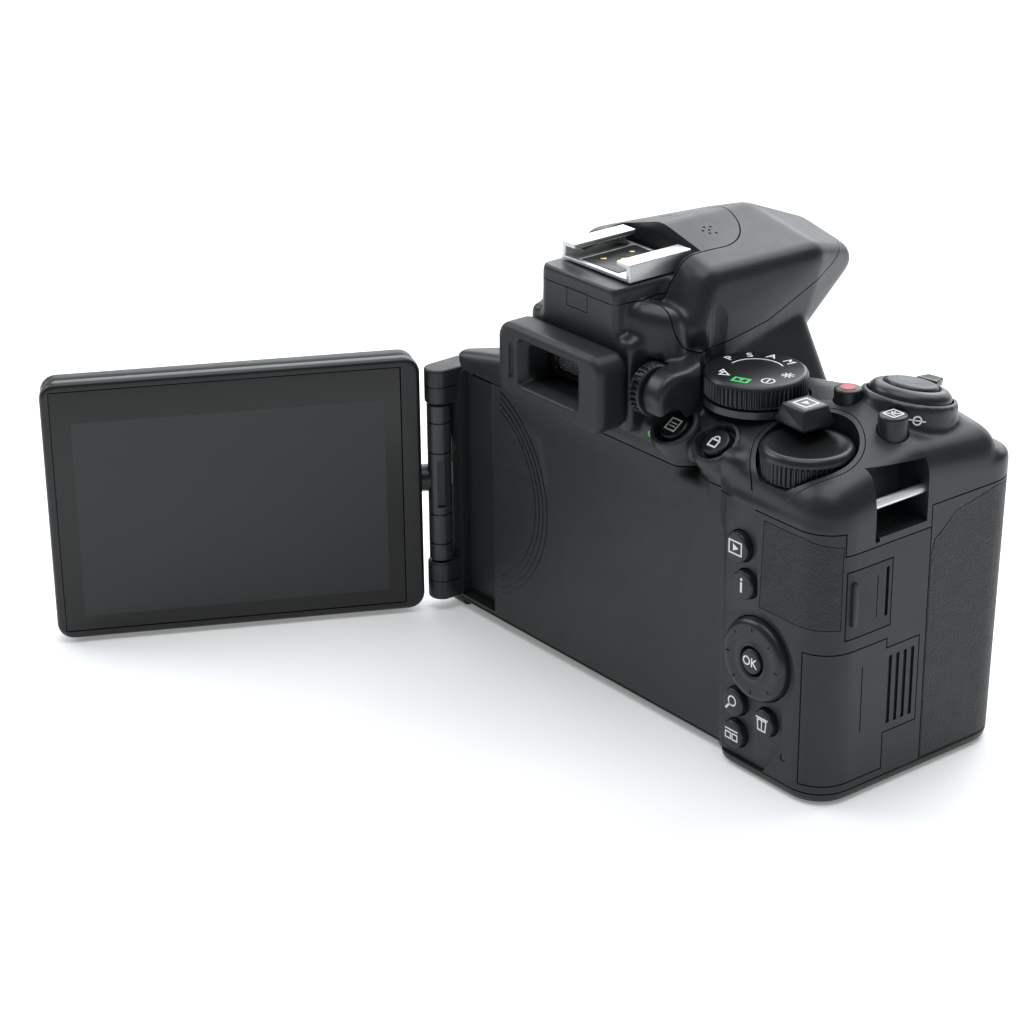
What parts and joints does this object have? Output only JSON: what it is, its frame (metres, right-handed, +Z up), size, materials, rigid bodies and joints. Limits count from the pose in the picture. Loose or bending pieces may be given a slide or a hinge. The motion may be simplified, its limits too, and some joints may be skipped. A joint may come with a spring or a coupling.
{
  "type": "dslr camera",
  "caption": "Compact single-lens reflex camera body with a swing-out tilting rear monitor, pop-up flash, mode dial, hot shoe and lens mount.",
  "frame": {"origin": "on the face the camera stands on, under the lens axis and 5 mm in front of the image plane", "axes": "+Z up; -Y out of the lens mount, +Y towards the user; +X towards the monitor hinge, the grip is on -X"},
  "size_m": [0.1633, 0.1402, 0.0979],
  "materials": {
    "shell": "fine-grained satin polycarbonate",
    "controls": "satin, moulded and knurled",
    "grip": "pebbled soft rubber",
    "soft": "smooth soft rubber",
    "steel": "turned and brushed",
    "screen": "coated glass over a dark panel",
    "lens": "coated optical glass",
    "mirror": "front-silvered",
    "inner": "flocked black",
    "sensor": "polished filter glass on ceramic",
    "board": "lacquered circuit board",
    "cell": "smooth dark case",
    "gold": "gold-plated contacts"
  },
  "bodies": {
    "camera_body": {"front_cover": "shell", "rear_cover": "shell", "top_cover": "shell", "bottom_cover": "shell", "grip_rubber": "grip", "thumb_rubber": "grip", "mirror_box": "inner", "lens_mount_ring": "steel", "mount_contacts": "gold", "focusing_screen": "lens", "pentamirror": "lens", "eyepiece_lens": "lens", "image_sensor": "sensor", "main_board": "board", "shutter_frame": "inner", "hot_shoe_rails": "steel", "hot_shoe_base": "controls", "strap_bar_right": "steel", "strap_bar_left": "steel", "tripod_socket": "steel", "battery": "cell", "memory_card": "cell", "af_assist_lamp": "lens", "flash_capacitor": "cell"},
    "monitor_arm": {"hinge_arm": "shell"},
    "monitor": {"monitor_back_cover": "shell", "monitor_front_frame": "shell", "monitor_glass": "screen"},
    "flash": {"flash_head": "shell", "flash_window": "lens"},
    "mode_dial": {"mode_dial": "controls"},
    "command_dial": {"command_dial": "controls"},
    "live_view_lever": {"live_view_lever": "controls"},
    "power_switch": {"power_switch": "controls"},
    "shutter_button": {"shutter_button": "controls"},
    "movie_button": {"movie_button": "controls"},
    "exposure_button": {"exposure_button": "controls"},
    "info_button": {"info_button": "controls"},
    "ae_lock_button": {"ae_lock_button": "controls"},
    "playback_button": {"playback_button": "controls"},
    "shortcut_button": {"shortcut_button": "controls"},
    "zoom_in_button": {"zoom_in_button": "controls"},
    "zoom_out_button": {"zoom_out_button": "controls"},
    "delete_button": {"delete_button": "controls"},
    "ok_button": {"ok_button": "controls"},
    "multi_selector": {"multi_selector": "controls"},
    "eyecup": {"eyecup": "soft"},
    "diopter_dial": {"diopter_dial": "controls"},
    "card_door": {"card_door": "shell"},
    "hdmi_cover": {"hdmi_cover": "soft"},
    "connector_cover": {"connector_cover": "soft"},
    "battery_door": {"battery_door": "shell"},
    "main_mirror": {"main_mirror": "mirror"},
    "sub_mirror": {"sub_mirror": "mirror"},
    "shutter_blade_upper": {"shutter_blade_upper": "inner"},
    "shutter_blade_lower": {"shutter_blade_lower": "inner"},
    "lens_release_button": {"lens_release_button": "controls"},
    "lens_lock_pin": {"lens_lock_pin": "steel"},
    "flash_button": {"flash_button": "controls"},
    "function_button": {"function_button": "controls"}
  },
  "joints": [
    {"name": "monitor_swing", "type": "hinge", "parent": "camera_body", "child": "monitor_arm", "pos_m": [0.0514, 0.0144, 0.0304], "axis": [0, 0, 1], "range_deg": [-60, 117.5]},
    {"name": "monitor_tilt", "type": "hinge", "parent": "monitor_arm", "child": "monitor", "pos_m": [0.05282, 0.01366, 0.0304], "axis": [0.4617, 0.887, 0], "range_deg": [-90, 180]},
    {"name": "mode_dial_turn", "type": "hinge", "parent": "camera_body", "child": "mode_dial", "pos_m": [-0.0307, -0.0015, 0.0716], "axis": [0, 0, 1], "continuous": true},
    {"name": "command_dial_turn", "type": "hinge", "parent": "camera_body", "child": "command_dial", "pos_m": [-0.0508, 0.0037, 0.0626], "axis": [0, 0, 1], "continuous": true},
    {"name": "live_view_lever_turn", "type": "hinge", "parent": "camera_body", "child": "live_view_lever", "pos_m": [-0.0307, -0.0015, 0.0706], "axis": [0, 0, -1], "range_deg": [0, 20], "stiffness_Nm_per_rad": 0.05},
    {"name": "power_switch_turn", "type": "hinge", "parent": "camera_body", "child": "power_switch", "pos_m": [-0.053, -0.021, 0.073], "axis": [0, -0.2079, 0.9781], "range_deg": [0, 30]},
    {"name": "shutter_button_press", "type": "slide", "parent": "camera_body", "child": "shutter_button", "axis": [0, 0.2079, -0.9781], "range_m": [0, 0.001], "stiffness_N_per_m": 300},
    {"name": "movie_button_press", "type": "slide", "parent": "camera_body", "child": "movie_button", "axis": [0, 0, -1], "range_m": [0, 0.0006], "stiffness_N_per_m": 300},
    {"name": "exposure_button_press", "type": "slide", "parent": "camera_body", "child": "exposure_button", "axis": [0, 0, -1], "range_m": [0, 0.0006], "stiffness_N_per_m": 300},
    {"name": "info_button_press", "type": "slide", "parent": "camera_body", "child": "info_button", "axis": [0, -0.5736, -0.8192], "range_m": [0, 0.0006], "stiffness_N_per_m": 300},
    {"name": "ae_lock_button_press", "type": "slide", "parent": "camera_body", "child": "ae_lock_button", "axis": [0, -0.5736, -0.8192], "range_m": [0, 0.0006], "stiffness_N_per_m": 300},
    {"name": "playback_button_press", "type": "slide", "parent": "camera_body", "child": "playback_button", "axis": [0, -1, 0], "range_m": [0, 0.0006], "stiffness_N_per_m": 300},
    {"name": "shortcut_button_press", "type": "slide", "parent": "camera_body", "child": "shortcut_button", "axis": [0, -1, 0], "range_m": [0, 0.0006], "stiffness_N_per_m": 300},
    {"name": "zoom_in_button_press", "type": "slide", "parent": "camera_body", "child": "zoom_in_button", "axis": [0, -1, 0], "range_m": [0, 0.0006], "stiffness_N_per_m": 300},
    {"name": "zoom_out_button_press", "type": "slide", "parent": "camera_body", "child": "zoom_out_button", "axis": [0, -1, 0], "range_m": [0, 0.0006], "stiffness_N_per_m": 300},
    {"name": "delete_button_press", "type": "slide", "parent": "camera_body", "child": "delete_button", "axis": [0, -1, 0], "range_m": [0, 0.0006], "stiffness_N_per_m": 300},
    {"name": "ok_button_press", "type": "slide", "parent": "camera_body", "child": "ok_button", "axis": [0, -1, 0], "range_m": [0, 0.0006], "stiffness_N_per_m": 300},
    {"name": "multi_selector_rock", "type": "hinge", "parent": "camera_body", "child": "multi_selector", "pos_m": [-0.0492, 0.0131, 0.0257], "axis": [1, 0, 0], "range_deg": [-3, 3], "stiffness_Nm_per_rad": 0.1},
    {"name": "flash_popup", "type": "hinge", "parent": "camera_body", "child": "flash", "pos_m": [0, 0.0025, 0.0855], "axis": [-1, 0, 0], "range_deg": [0, 70]},
    {"name": "eyecup_slide", "type": "slide", "parent": "camera_body", "child": "eyecup", "axis": [0, 0, 1], "range_m": [0, 0.02]},
    {"name": "diopter_turn", "type": "hinge", "parent": "camera_body", "child": "diopter_dial", "pos_m": [-0.0186, 0.0146, 0.0727], "axis": [-1, 0, 0], "range_deg": [-120, 120]},
    {"name": "card_door_swing", "type": "hinge", "parent": "camera_body", "child": "card_door", "pos_m": [-0.0619, 0.014, 0.018], "axis": [0, 0, -1], "range_deg": [0, 100]},
    {"name": "hdmi_cover_swing", "type": "hinge", "parent": "camera_body", "child": "hdmi_cover", "pos_m": [-0.0674, -0.0031, 0.042], "axis": [0, 0, 1], "range_deg": [0, 90]},
    {"name": "connector_cover_swing", "type": "hinge", "parent": "camera_body", "child": "connector_cover", "pos_m": [0.0552, -0.0153, 0.0225], "axis": [0, 0, -1], "range_deg": [0, 90]},
    {"name": "battery_door_swing", "type": "hinge", "parent": "camera_body", "child": "battery_door", "pos_m": [-0.0451, -0.019, 0.0001], "axis": [0, -1, 0], "range_deg": [0, 90]},
    {"name": "main_mirror_flip", "type": "hinge", "parent": "camera_body", "child": "main_mirror", "pos_m": [0, -0.004, 0.048], "axis": [-1, 0, 0], "range_deg": [0, 45], "stiffness_Nm_per_rad": 0.005},
    {"name": "sub_mirror_fold", "type": "hinge", "parent": "main_mirror", "child": "sub_mirror", "pos_m": [0, -0.01284, 0.03704], "axis": [-1, 0, 0], "range_deg": [0, 90]},
    {"name": "upper_curtain_travel", "type": "slide", "parent": "camera_body", "child": "shutter_blade_upper", "axis": [0, 0, -1], "range_m": [0, 0.0188], "stiffness_N_per_m": 2, "springref_m": -0.005},
    {"name": "lower_curtain_travel", "type": "slide", "parent": "camera_body", "child": "shutter_blade_lower", "axis": [0, 0, -1], "range_m": [0, 0.0094]},
    {"name": "lens_release_press", "type": "slide", "parent": "camera_body", "child": "lens_release_button", "axis": [0, 1, 0], "range_m": [0, 0.0015], "stiffness_N_per_m": 300},
    {"name": "lens_lock_pin_slide", "type": "slide", "parent": "camera_body", "child": "lens_lock_pin", "axis": [0, 1, 0], "range_m": [0, 0.0015]},
    {"name": "flash_button_press", "type": "slide", "parent": "camera_body", "child": "flash_button", "axis": [0, 1, 0], "range_m": [0, 0.0006], "stiffness_N_per_m": 300},
    {"name": "function_button_press", "type": "slide", "parent": "camera_body", "child": "function_button", "axis": [0, 1, 0], "range_m": [0, 0.0006], "stiffness_N_per_m": 300}
  ],
  "couplings": [
    {"joint": "sub_mirror_fold", "follows": "main_mirror_flip", "ratio": 2},
    {"joint": "lower_curtain_travel", "follows": "upper_curtain_travel", "ratio": 0.5},
    {"joint": "lens_lock_pin_slide", "follows": "lens_release_press", "ratio": 1}
  ]
}
